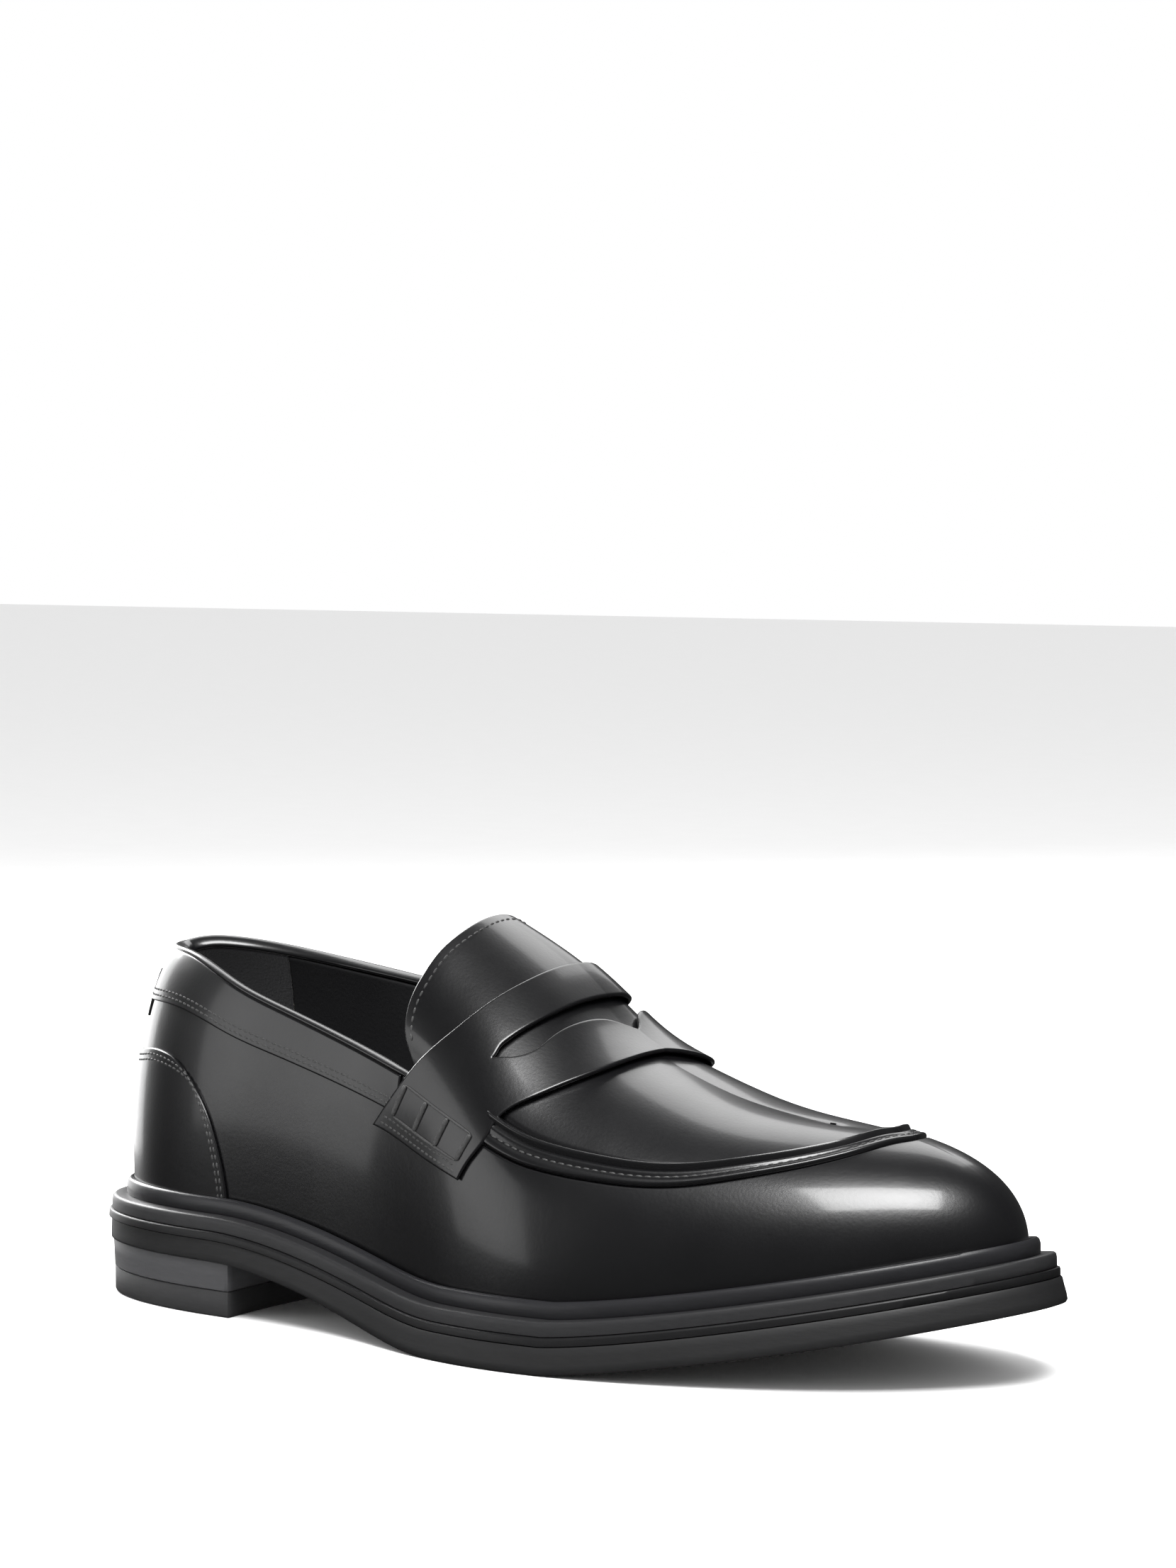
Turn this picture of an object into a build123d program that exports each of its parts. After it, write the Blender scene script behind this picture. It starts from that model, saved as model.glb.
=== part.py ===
from build123d import *
import os
import numpy as np

# Penny loafer for the right foot, in millimetres. It stands on z = 0 with its toe
# towards +X and the outer (little toe) side towards -Y. Stations are measured from
# the back of the heel and moved at the end, so that the sole is centred on the origin.

# ---- driving sizes -----------------------------------------------------------------
SOLE_LENGTH = 309.5        # heel back to toe tip, along the welt edge
OUTER_WIDTH = 58.0         # heel line to the widest point of the outer side
INNER_WIDTH = 50.0         # heel line to the widest point of the inner side
TOE_SPRING = 20.4          # height of the sole under the toe tip
COLLAR_HEIGHT = 102.0      # top of the heel collar above the ground
INSTEP_HEIGHT = 112.5      # crown of the upper under the tongue's top edge
TOE_BOX_HEIGHT = 61.0      # crown of the upper behind the toe

WELT_THICK = 4.2           # visible upper layer of the sole edge
MIDSOLE_THICK = 2.6        # thin layer under the welt
OUTSOLE_HEEL = 6.0         # rubber sole under the heel seat and waist
OUTSOLE_FORE = 7.4         # rubber sole under the ball
LIFT_THICK = 8.4           # heel block
TOP_PIECE_THICK = 7.6      # rubber top piece that meets the ground
HEEL_BREAST = 74.5         # front face of the heel, from the heel back
ARCH_START = 62.0          # where the sole starts to fall from the heel seat
ARCH_END = 158.0           # where it reaches the ground
BALL_END = 195.0           # where the toe spring starts

STORM_WELT_INSET = 4.4     # outer edge of the storm welt, in from the welt edge
STORM_WELT_HEIGHT = 4.8
FEATHER_INSET = 7.5        # outer face of the upper where it meets the storm welt
BELLY_CLEAR = 0.5          # room for the upper to swell past the storm welt
OUTSOLE_PROUD = 2.0        # outsole edge outside the welt edge
MIDSOLE_PROUD = 0.8        # thin layer's edge outside the welt edge
HEEL_INSET = 1.0           # top piece edge inside the welt edge

UPPER_LEATHER = 1.3
STIFFENER = 0.8
LINING = 1.0
TRIM_LEATHER = 1.2         # collar band, counter patch, strap
INSOLE_THICK = 2.3
SOCK_THICK = 1.4
PAD_THICK = 2.5            # foam under the heel
GLUE = 0.1                 # gap between cemented layers
PASTE = 0.2                # gap between the upper and its stiffeners
WELT_BAND = 12.0           # width of the welt ring round the cork
HINGE_GAP = 0.8            # bare crease between the tongue and the plug
SHANK_LENGTH = 96.0
SHANK_WIDTH = 13.0
SHANK_THICK = 1.4
NAIL_RADIUS = 1.3
NAIL_LENGTH = 12.0

# ---- shape of the foot plan: (share of length, share of that side's width) ----------
PLAN_OUTER = [(0.0, 0.0), (0.019, 0.284), (0.058, 0.457), (0.126, 0.597), (0.21, 0.662), (0.297, 0.686),
              (0.385, 0.759), (0.472, 0.905), (0.562, 1.0), (0.653, 0.983), (0.743, 0.888),
              (0.834, 0.729), (0.914, 0.509), (0.973, 0.224), (1.0, -0.069)]
PLAN_INNER = [(0.989, 0.41), (0.94, 0.71), (0.869, 0.91), (0.779, 1.0), (0.685, 0.994), (0.588, 0.89),
              (0.481, 0.71), (0.385, 0.63), (0.288, 0.65), (0.2, 0.70), (0.126, 0.68), (0.058, 0.54),
              (0.019, 0.34)]
NAIL_PLACES = [(0.03, 0.0), (0.07, -0.32), (0.07, 0.32), (0.125, -0.42), (0.125, 0.42), (0.165, -0.2), (0.165, 0.2)]


def natural(knots, x):
    """Natural cubic spline through a few (station, value) knots."""
    xs, ys = np.array(knots, float).T
    h = np.diff(xs)
    rows = np.eye(len(xs))
    rhs = np.zeros(len(xs))
    for i in range(1, len(xs) - 1):
        rows[i, i - 1:i + 2] = h[i - 1], 2 * (h[i - 1] + h[i]), h[i]
        rhs[i] = 6 * ((ys[i + 1] - ys[i]) / h[i] - (ys[i] - ys[i - 1]) / h[i - 1])
    m = np.linalg.solve(rows, rhs)
    k = np.clip(np.searchsorted(xs, x, side="right") - 1, 0, len(xs) - 2)
    d, g = x - xs[k], h[k]
    slope = (ys[k + 1] - ys[k]) / g - g * (2 * m[k] + m[k + 1]) / 6
    return ys[k] + d * slope + d**2 * m[k] / 2 + d**3 * (m[k + 1] - m[k]) / (6 * g)


def closed(points, share):
    """Closed cubic spline through the points, read at shares 0 to 1 of its chords."""
    p = np.asarray(points, float)
    n = len(p)
    h = np.linalg.norm(np.roll(p, -1, 0) - p, axis=1)
    start = np.r_[0, np.cumsum(h)]
    rows, rhs = np.zeros((n, n)), np.zeros(p.shape)
    for i in range(n):
        j = (i + 1) % n
        rows[i, i - 1] += h[i - 1]
        rows[i, i] += 2 * (h[i - 1] + h[i])
        rows[i, j] += h[i]
        rhs[i] = 6 * ((p[j] - p[i]) / h[i] - (p[i] - p[i - 1]) / h[i - 1])
    m = np.linalg.solve(rows, rhs)
    u = np.mod(share, 1.0) * start[-1]
    k = np.clip(np.searchsorted(start, u, side="right") - 1, 0, n - 1)
    d, g = (u - start[k])[..., None], h[k][..., None]
    a, b, ma, mb = p[k], p[(k + 1) % n], m[k], m[(k + 1) % n]
    return a + d * ((b - a) / g - g * (2 * ma + mb) / 6) + d**2 * ma / 2 + d**3 * (mb - ma) / (6 * g)


HEEL_BACK = 3.0
PLAN = [(HEEL_BACK + s * SOLE_LENGTH, -f * OUTER_WIDTH) for s, f in PLAN_OUTER]
PLAN += [(HEEL_BACK + s * SOLE_LENGTH, f * INNER_WIDTH) for s, f in PLAN_INNER]
EDGE = closed(PLAN, np.linspace(0, 1, 2001))
CENTRE = (EDGE.max(axis=0) + EDGE.min(axis=0)) / 2
TOE_X = EDGE[:, 0].max()


def plan(w, inset):
    """Point of the sole's plan at share w round it, and the outward direction there."""
    step = 1e-4
    p = closed(PLAN, w)
    t = closed(PLAN, w + step) - closed(PLAN, w - step)
    t /= np.linalg.norm(t, axis=-1, keepdims=True)
    n = np.stack([t[..., 1], -t[..., 0]], -1)
    return p - n * inset, n


def ease(u):
    u = np.clip(u, 0, 1)
    return u * u * (3 - 2 * u)


def sole_bottom(x):
    """Underside of the outsole: level heel seat, arch, flat ball, then the toe spring."""
    seat = (LIFT_THICK + TOP_PIECE_THICK) * (1 - ease((x - ARCH_START) / (ARCH_END - ARCH_START)))
    return seat + TOE_SPRING * np.clip((x - BALL_END) / (TOE_X - BALL_END), 0, 1.2)**1.25


def outsole_thick(x):
    return OUTSOLE_HEEL + (OUTSOLE_FORE - OUTSOLE_HEEL) * ease((x - ARCH_START) / (ARCH_END - ARCH_START))


def seat(x):
    """Top of the welt layer, where the upper stands."""
    return sole_bottom(x) + outsole_thick(x) + MIDSOLE_THICK + WELT_THICK


# ---- shape of the upper -------------------------------------------------------------
# The upper is one rounded surface. It rises from the plan curve (v = 0) to a ridge line
# (v = 1) along a superellipse, and w runs round it from the heel back, by the outer side,
# to the toe and back by the inner side.
RIDGE_X = [(0, 36), (25, 44), (70, 74), (150, 149), (230, 215), (285, 240), (312, 250)]
RIDGE_Y = [(36, 0), (120, 6), (150, 10.5), (190, 9.5), (220, 7.5), (276, 6)]
RIDGE_Z = [(36, COLLAR_HEIGHT + 8), (60, COLLAR_HEIGHT + 12), (90, COLLAR_HEIGHT + 16),
           (115, INSTEP_HEIGHT + 6.5), (128, INSTEP_HEIGHT + 5.5), (140, INSTEP_HEIGHT),
           (163, INSTEP_HEIGHT - 15), (176, TOE_BOX_HEIGHT + 25.5), (195, TOE_BOX_HEIGHT + 16),
           (215, TOE_BOX_HEIGHT + 9.5), (240, TOE_BOX_HEIGHT + 5), (258, TOE_BOX_HEIGHT + 2.5),
           (276, TOE_BOX_HEIGHT)]
ROUND_OUTER = [(0, 2.05), (60, 2.5), (110, 2.4), (140, 2.3), (200, 2.2), (240, 2.15), (312, 2.3)]
ROUND_INNER = [(0, 2.05), (60, 2.5), (110, 2.8), (140, 3.4), (180, 3.2), (215, 2.6), (250, 2.2), (312, 2.3)]
BELLY = [(0, 1.0), (60, 2), (130, 2), (200, 3), (270, 2), (312, 1)]


def upper(w, v, off=0.0):
    """Point of the upper at (w, v), off millimetres outside its face."""
    if off is not None:
        step_w, step_v = 5e-4, 2e-3
        lo, hi = np.clip(v - step_v, 1e-4, 1), np.clip(v + step_v, 0, 1)
        across = upper(w + step_w, v, None) - upper(w - step_w, v, None)
        along = upper(w, hi, None) - upper(w, lo, None)
        n = np.cross(across, along)
        n /= np.linalg.norm(n, axis=-1, keepdims=True)
        return upper(w, v, None) + n * np.asarray(off)[..., None]
    foot, out = plan(w, FEATHER_INSET)
    x = foot[..., 0]
    top_x = natural(RIDGE_X, x)
    inner = ease((np.mod(w, 1.0) - 0.5) * 1e3)
    power = 2 / (natural(ROUND_OUTER, x) * (1 - inner) + natural(ROUND_INNER, x) * inner)
    belly = natural(BELLY, x) * np.sin(np.pi * v)
    level = np.cos(v * np.pi / 2).clip(0)**power
    rise = np.sin(v * np.pi / 2).clip(0)**power
    px = top_x + (x - top_x) * level + out[..., 0] * belly
    py = natural(RIDGE_Y, top_x) * (1 - level) + foot[..., 1] * level + out[..., 1] * belly
    base = seat(x)
    return np.stack([px, py, base + (natural(RIDGE_Z, top_x) - base) * rise], -1)


def v_at(w, z):
    """The v at which the upper reaches height z, at share w round it."""
    foot, _ = plan(w, FEATHER_INSET)
    x = foot[..., 0]
    inner = ease((np.mod(w, 1.0) - 0.5) * 1e3)
    n = natural(ROUND_OUTER, x) * (1 - inner) + natural(ROUND_INNER, x) * inner
    rise = (z - seat(x)) / (natural(RIDGE_Z, natural(RIDGE_X, x)) - seat(x))
    return np.arcsin(np.clip(rise, 0, 1)**(n / 2)) * 2 / np.pi


W_TOE = np.argmax(EDGE[:, 0]) / 2000


def w_at(x, side):
    """Share round the plan at which its feather line reaches station x, on one side."""
    share = np.linspace(0, W_TOE, 400) if side < 0 else np.linspace(1, W_TOE, 400)
    foot, _ = plan(share, FEATHER_INSET)
    w = np.interp(x, foot[:, 0], share)
    for _ in range(2):
        slope = (plan(w + 1e-4, FEATHER_INSET)[0] - plan(w - 1e-4, FEATHER_INSET)[0])[..., 0] / 2e-4
        w = w - (plan(w, FEATHER_INSET)[0][..., 0] - x) / slope
    return w


# Seams, at shares of the way from the heel back (0) to the toe tip (1): the topline as a
# drop below the collar, and the foot of the apron's raised rim as a v.
TOPLINE_OUTER = [(0.0, 0), (0.07, -0.5), (0.147, -2), (0.18, -4.5), (0.223, -9), (0.274, -14),
                 (0.337, -20.5), (0.42, -29)]
TOPLINE_INNER = [(0.0, 0), (0.05, 1), (0.106, 0.5), (0.175, -2), (0.239, -5), (0.316, -8.5), (0.42, -15)]
SEAM_OUTER = [(0.42, 0.35), (0.52, 0.335), (0.60, 0.368), (0.65, 0.383), (0.70, 0.41), (0.75, 0.46),
              (0.804, 0.52), (0.869, 0.61), (0.95, 0.72), (1.0, 0.74)]
SEAM_INNER = [(0.42, 0.49), (0.52, 0.50), (0.6, 0.50), (0.68, 0.49), (0.73, 0.485), (0.79, 0.52),
              (0.869, 0.61), (0.95, 0.72), (1.0, 0.74)]
RIM_DEPTH = 0.085          # depth of the rim, in v
COLLAR_DROP = 16.0         # depth of the collar band below the topline


def side_share(w):
    """Share of the way from the heel back to the toe tip, and which side, at w."""
    w = np.mod(w, 1.0)
    return np.where(w <= W_TOE, w / W_TOE, (1 - w) / (1 - W_TOE)), w > W_TOE


def apron_seam(w):
    """v of the foot of the apron's rim."""
    s, inner = side_share(w)
    return np.where(inner, natural(SEAM_INNER, s), natural(SEAM_OUTER, s))


def top_edge(w):
    """v of the upper's top edge: the topline at the mouth, the apron seam in front."""
    s, inner = side_share(w)
    drop = np.where(inner, natural(TOPLINE_INNER, s), natural(TOPLINE_OUTER, s))
    mouth = v_at(w, COLLAR_HEIGHT + np.where(s < 0.43, drop, 0))
    blend = ease((s - 0.40) / 0.03)
    return mouth * (1 - blend) + apron_seam(w) * blend


def sheet(outside, inside):
    """Closed solid between two grids of points."""
    a = Face.make_surface_from_array_of_points([[tuple(p) for p in row] for row in outside])
    b = Face.make_surface_from_array_of_points([[tuple(p) for p in row] for row in inside])
    faces = [a, b]
    for edge in a.edges():
        partner = min(b.edges(), key=lambda e: (e.center() - edge.center()).length)
        faces.append(Face.make_surface_from_curves(edge, partner))
    solid = Solid(Shell(faces))
    return solid if solid.volume > 0 else sheet(outside[::-1], inside[::-1])


def skin(w0, w1, low, high, inner_off, outer_off, nw=40, nv=12, slant=0.0):
    """Patch of the upper between shares w0, w1 and the v curves low(w), high(w)."""
    w, t = np.meshgrid(np.linspace(w0, w1, nw), np.linspace(0, 1, nv), indexing="ij")
    w = w * (1 + slant * t)
    v = low(w) + (high(w) - low(w)) * t
    return sheet(upper(w, v, outer_off), upper(w, v, inner_off))


def flat(value):
    return lambda w: 0 * w + value


def slab(bottom, top):
    """Everything between two side profiles, right across the shoe."""
    x = np.linspace(-12, TOE_X + 12, 60)
    low = Edge.make_spline([(a, -90, b) for a, b in zip(x, bottom(x))])
    high = Edge.make_spline([(a, -90, b) for a, b in zip(x, top(x))])
    ends = [Edge.make_line(low @ 0, high @ 0), Edge.make_line(low @ 1, high @ 1)]
    return Solid.extrude(Face(Wire([low, ends[1], high, ends[0]])), Vector(0, 180, 0))


def prism(inset, z0=-20.0, z1=150.0):
    share = np.linspace(0, 1, 65)[:-1]
    points, _ = plan(share, inset)
    rim = Edge.make_spline([(x, y, z0) for x, y in points], periodic=True)
    return Solid.extrude(Face(Wire([rim])), Vector(0, 0, z1 - z0))


def layer(inset, bottom, top, hole=None):
    body = prism(inset) & slab(bottom, top)
    if hole is not None:
        body = body - prism(hole)
    return body


def save(name, shape):
    solids = shape.solids() if hasattr(shape, "solids") else [shape]
    moved = [s.moved(Location((-CENTRE[0], -CENTRE[1], 0))) for s in solids]
    part = moved[0] if len(moved) == 1 else Compound(children=moved)
    part.label = name
    export_step(part, f"parts/{name}.step")
    print(f"{name:24s} {len(moved)} {sum(s.volume for s in moved):10.0f}")


# ---- sole ---------------------------------------------------------------------------
LINER_OFF = -(UPPER_LEATHER + PASTE + STIFFENER + LINING + 2 * GLUE)   # inner face of the lining
INSIDE = FEATHER_INSET - LINER_OFF + 2.0                       # plan inset clear of the lining


def above(height):
    return lambda x: seat(x) + height


def outsole():
    return layer(-OUTSOLE_PROUD, sole_bottom, lambda x: sole_bottom(x) + outsole_thick(x))


def midsole():
    return layer(-MIDSOLE_PROUD, above(-WELT_THICK - MIDSOLE_THICK), above(-WELT_THICK))


def welt_layer():
    return layer(0.0, above(-WELT_THICK), above(0.0), hole=WELT_BAND)


def storm_welt():
    return layer(STORM_WELT_INSET, above(0.0), above(STORM_WELT_HEIGHT), hole=FEATHER_INSET - BELLY_CLEAR)


def shank_blank(grow=0.0):
    """Steel strip along the waist, following the arch."""
    x0 = ARCH_START - 25
    x = np.linspace(x0 - grow, x0 + SHANK_LENGTH + grow, 14)
    mid = seat(x) - WELT_THICK / 2
    half = SHANK_THICK / 2 + grow
    low = Edge.make_spline([(a, -SHANK_WIDTH / 2 - grow, b - half) for a, b in zip(x, mid)])
    high = Edge.make_spline([(a, -SHANK_WIDTH / 2 - grow, b + half) for a, b in zip(x, mid)])
    ends = [Edge.make_line(low @ 0, high @ 0), Edge.make_line(low @ 1, high @ 1)]
    return Solid.extrude(Face(Wire([low, ends[1], high, ends[0]])), Vector(0, SHANK_WIDTH + 2 * grow, 0))


def cork_filler():
    return layer(WELT_BAND + 2 * GLUE, above(-WELT_THICK), above(0.0)) - shank_blank(GLUE)


def insole_board():
    return layer(INSIDE, above(GLUE), above(INSOLE_THICK))


def pad_height(x):
    return PAD_THICK * (1 - ease((x - 60) / 45))


def heel_pad():
    base = INSOLE_THICK + GLUE
    pad = layer(INSIDE + 0.5, above(base), lambda x: seat(x) + base + 0.2 + pad_height(x))
    return pad & Box(100, 120, 300, align=(Align.MIN, Align.CENTER, Align.CENTER))


def sock_liner():
    low = INSOLE_THICK + 0.2 + 2 * GLUE
    return layer(INSIDE + 0.5, lambda x: seat(x) + low + pad_height(x),
                 lambda x: seat(x) + low + pad_height(x) + SOCK_THICK)


def heel_block(z0, inset):
    """The plan of the sole from height z0 up, behind the curved breast."""
    side = 60.0
    breast = Edge.make_three_point_arc((HEEL_BREAST, -side, z0), (HEEL_BREAST - 6, 0, z0), (HEEL_BREAST, side, z0))
    back = Edge.make_line((-20, -side, z0), (HEEL_BREAST, -side, z0))
    rear = Edge.make_line((-20, side, z0), (-20, -side, z0))
    front = Edge.make_line((HEEL_BREAST, side, z0), (-20, side, z0))
    behind = Solid.extrude(Face(Wire([back, breast, front, rear])), Vector(0, 0, 40))
    return prism(inset, z0, z0 + 40) & behind


def nails(radius=NAIL_RADIUS, grow=0.0):
    """Nails that hold the heel, driven up through the top piece into the heel block."""
    group = []
    for along, across in NAIL_PLACES:
        at = Location((HEEL_BACK + along * SOLE_LENGTH + 4, across * (INNER_WIDTH + OUTER_WIDTH) / 2, 1.5 - grow))
        pin = Cylinder(radius, NAIL_LENGTH + 2 * grow, align=(Align.CENTER, Align.CENTER, Align.MIN)).moved(at)
        group.append(pin)
    return group


def bored(block):
    for hole in nails(NAIL_RADIUS, 0.05):
        block = block - hole
    return block


def heel_top_piece():
    return bored(heel_block(0, HEEL_INSET) & slab(flat(-5.0), flat(TOP_PIECE_THICK)))


def heel_lift():
    return bored(heel_block(TOP_PIECE_THICK, HEEL_INSET / 2) & slab(flat(-5.0), sole_bottom))


# ---- upper --------------------------------------------------------------------------
HEEL_SHARE = 0.112         # half-width of the counter patch, as a share of the plan
STAY_FRONT = 0.40          # where the side stays end, before the toe puff
PUFF_BACK = 0.425
PLY2 = -(UPPER_LEATHER + PASTE)               # outer face of the stiffeners
PLY3 = PLY2 - STIFFENER - GLUE                # outer face of the linings
TRIM_IN, TRIM_OUT = GLUE, GLUE + TRIM_LEATHER


def below_edge(drop):
    """Curve a little below the top edge, for pieces that stop short of it."""
    return lambda w: np.maximum(top_edge(w) - drop, 0.02)


def collar_low(w):
    s, inner = side_share(w)
    drop = np.where(inner, natural(TOPLINE_INNER, s), natural(TOPLINE_OUTER, s))
    return v_at(w, COLLAR_HEIGHT + drop - COLLAR_DROP + 12 * s)


def counter_top(w):
    s, _ = side_share(w)
    edge = np.abs(s * W_TOE) / HEEL_SHARE
    return 0.325 - 0.10 * np.clip(edge - 0.45, 0, 1)**1.5 / 0.4


def upper_body():
    return skin(0.004, 0.996, flat(0.0), top_edge, -UPPER_LEATHER, 0.0, nw=96, nv=12)


def collar_band():
    return skin(-0.182, 0.182, collar_low, below_edge(0.015), TRIM_IN, TRIM_OUT, nw=60, nv=8, slant=0.10)


def topline_binding():
    cap = skin(-0.2, 0.2, below_edge(0.013), lambda w: top_edge(w) + 0.014, -UPPER_LEATHER, TRIM_OUT + 0.4,
               nw=60, nv=5)
    slot = skin(-0.21, 0.21, below_edge(0.05), lambda w: top_edge(w) + 0.002, -UPPER_LEATHER - 1.5, GLUE / 2,
                nw=60, nv=5)
    return cap - slot


def counter_patch():
    a, b = np.meshgrid(np.linspace(-1, 1, 41), np.linspace(0, 1, 10), indexing="ij")
    w = a * HEEL_SHARE * (1 - 0.16 * b**1.5)
    v = 0.06 + (counter_top(w) - 0.06) * b
    return sheet(upper(w, v, TRIM_OUT), upper(w, v, TRIM_IN))


def back_strap():
    low = lambda w: v_at(w, COLLAR_HEIGHT - COLLAR_DROP - 6)
    high = lambda w: v_at(w, COLLAR_HEIGHT - COLLAR_DROP + 8)
    return skin(-0.012, 0.012, low, high, TRIM_OUT + GLUE, 2 * TRIM_OUT, nw=8, nv=8)


def heel_stiffener():
    return skin(-0.125, 0.125, flat(0.02), lambda w: 0.46 - 8 * w * w, PLY2 - STIFFENER, PLY2, nw=40, nv=8)


def toe_puff():
    return skin(PUFF_BACK, 1 - PUFF_BACK, flat(0.02), below_edge(0.06), PLY2 - STIFFENER, PLY2, nw=40, nv=8)


def side_stay(side):
    w0, w1, top = (0.13, STAY_FRONT, 0.29) if side < 0 else (1 - STAY_FRONT, 0.87, 0.42)
    return skin(w0, w1, flat(0.02), flat(top), PLY2 - STIFFENER, PLY2, nw=40, nv=8)


def vamp_lining():
    return skin(0.26, 0.74, flat(0.02), below_edge(0.04), PLY3 - LINING, PLY3, nw=60, nv=10)


def quarter_lining(side):
    w0, w1 = (0.085, 0.257) if side < 0 else (0.743, 0.915)
    return skin(w0, w1, flat(0.02), below_edge(0.02), PLY3 - LINING, PLY3, nw=40, nv=10)


def heel_grip():
    return skin(-0.083, 0.083, flat(0.02), below_edge(0.02), PLY3 - LINING, PLY3, nw=40, nv=10)


# ---- apron, strap and tongue ----------------------------------------------------------
# Edges that cross the instep are given as (v, station of the feather line in mm).
STRAP_REAR = [(0.22, 122), (0.27, 127), (0.35, 134), (0.42, 139.5), (0.52, 147), (0.68, 154.5), (0.8, 157.5),
              (1.0, 158.5)]
STRAP_FRONT = [(0.22, 160), (0.27, 163), (0.35, 168), (0.40, 169.5), (0.54, 178), (0.63, 183.5), (0.73, 188.5),
               (0.84, 192), (1.0, 194)]
STRAP_FRONT_INNER = [(0.22, 160), (0.27, 163), (0.35, 170), (0.40, 174), (0.54, 186), (0.63, 191.5), (0.73, 196),
                     (0.84, 197.5), (1.0, 194)]
SLOT_REAR = [(0.54, 161.5), (0.73, 167.5), (0.86, 169.5), (1.0, 170)]
SLOT_FRONT = [(0.54, 163.5), (0.62, 170), (0.73, 172.5), (0.84, 174), (1.0, 177.5)]
TONGUE_REAR = [(0.40, 132), (0.44, 129.5), (0.49, 128.5), (0.60, 130), (0.69, 131.5), (0.81, 133.5), (1.0, 133.5)]
TAB_V = 0.225              # foot of the strap's tabs
SLOT_V = 0.56              # ends of the coin slot
TONGUE_V = 0.40            # outer end of the tongue's free edge
TONGUE_V_INNER = 0.525     # its inner end, above the higher topline there
STRAP_OFF = 0.4            # strap's underside above the upper
TONGUE_OFF = -0.3          # tongue's face below the upper's
PLUG_OFF = -0.6
RIM_PROUD = 1.4
RIM_CLEAR = 2.0            # from the strap's front to the ends of the rim
PLUG_FRONT = 286.0         # station just past the plug's front
PLUG_TIP = 0.965           # share of the way to the toe tip at the plug's front corners


def bridge(rear, front, v_end, inner_off, outer_off, na=14, nb=49, v_end_inner=None, front_inner=None):
    """Patch across the instep from one side to the other, between two edge curves."""
    ends = (v_end, v_end if v_end_inner is None else v_end_inner)
    grids = []
    for off in (outer_off, inner_off):
        rows = []
        for side, end in zip((-1, 1), ends):
            v = np.linspace(end, 1, nb // 2 + 1)
            v = v if side < 0 else v[::-1][1:]
            edge = front if side < 0 or front_inner is None else front_inner
            a, b = rear(v) if callable(rear) else natural(rear, v), natural(edge, v)
            t = np.linspace(0, 1, na)
            x = a[:, None] + (b - a)[:, None] * t
            rows.append(upper(w_at(x, side), v[:, None] + 0 * x, off))
        grids.append(np.concatenate(rows))
    return sheet(*grids)


def cutter(outline):
    """Upright prism on an outline of straight steps in plan."""
    points = [(float(x), float(y), 30.0) for x, y in outline]
    return Solid.extrude(Face(Wire.make_polygon(points)), Vector(0, 0, 110))


def instep_line(edge, v_outer, v_inner, off):
    """Plan view of an edge line over the instep, from its outer end to its inner end."""
    v = np.concatenate([np.linspace(v_outer, 1, 24), np.linspace(1, v_inner, 24)[1:]])
    x = edge(v)
    w = np.where(np.arange(len(v)) < 24, w_at(x, -1), w_at(x, 1))
    return upper(w, v, off)[:, :2]


def penny_strap():
    strap = bridge(STRAP_REAR, STRAP_FRONT, TAB_V, STRAP_OFF, STRAP_OFF + TRIM_LEATHER,
                   v_end_inner=TAB_V + 0.1, front_inner=STRAP_FRONT_INNER)
    rear = instep_line(lambda v: natural(SLOT_REAR, v), SLOT_V, SLOT_V, STRAP_OFF)
    front = instep_line(lambda v: natural(SLOT_FRONT, v), SLOT_V, SLOT_V, STRAP_OFF)
    return strap - cutter(np.concatenate([rear, front[::-1]]))


def crease(v):
    """Station of the living hinge, just behind the strap."""
    return natural(STRAP_REAR, v) - 2.0


def tongue_front(v):
    return crease(v) - HINGE_GAP


def flap(inner_off, outer_off, trim=0.0):
    front = [(v, tongue_front(v) - trim) for v in np.linspace(TONGUE_V, 1, 9)]
    return bridge(lambda v: natural(TONGUE_REAR, v) + trim, front, TONGUE_V + trim / 40, inner_off, outer_off, na=10,
                  v_end_inner=TONGUE_V_INNER + trim / 40)


def tongue():
    return flap(TONGUE_OFF - UPPER_LEATHER, TONGUE_OFF)


def tongue_lining():
    top = TONGUE_OFF - UPPER_LEATHER - GLUE
    return flap(top - LINING, top, trim=0.8)


def seam_inside(w):
    """v of the plug's edge, just inside the rim and at the same height under the strap."""
    return apron_seam(w) + 0.012 + RIM_DEPTH


def apron_rim():
    w0 = w_at(natural(STRAP_FRONT, 0.43) + RIM_CLEAR, -1)
    w1 = w_at(natural(STRAP_FRONT_INNER, 0.59) + RIM_CLEAR, 1)
    return skin(w0, w1, lambda w: top_edge(w) + 0.004, lambda w: top_edge(w) + RIM_DEPTH, -UPPER_LEATHER, RIM_PROUD,
                nw=70, nv=6)


def section(x, y, off):
    """Height grid over the instep and toe, moved off millimetres along its normal."""
    ridge = natural(RIDGE_Y, x)
    outer, _ = plan(w_at(x, -1), FEATHER_INSET - 2.5)
    inner, _ = plan(w_at(x, 1), FEATHER_INSET - 2.5)
    is_outer = y < ridge
    half = np.where(is_outer, ridge - outer[..., 1], inner[..., 1] - ridge)
    n = np.where(is_outer, natural(ROUND_OUTER, x), natural(ROUND_INNER, x))
    z = seat(x) + (natural(RIDGE_Z, x) - seat(x)) * (1 - np.clip(np.abs(y - ridge) / half, 0, 0.97)**n)**(1 / n)
    grid = np.stack([x, y, z], -1)
    normal = np.cross(np.gradient(grid, axis=0), np.gradient(grid, axis=1))
    normal *= np.sign(normal[..., 2:])
    return grid + off * normal / np.linalg.norm(normal, axis=-1, keepdims=True)


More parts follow.
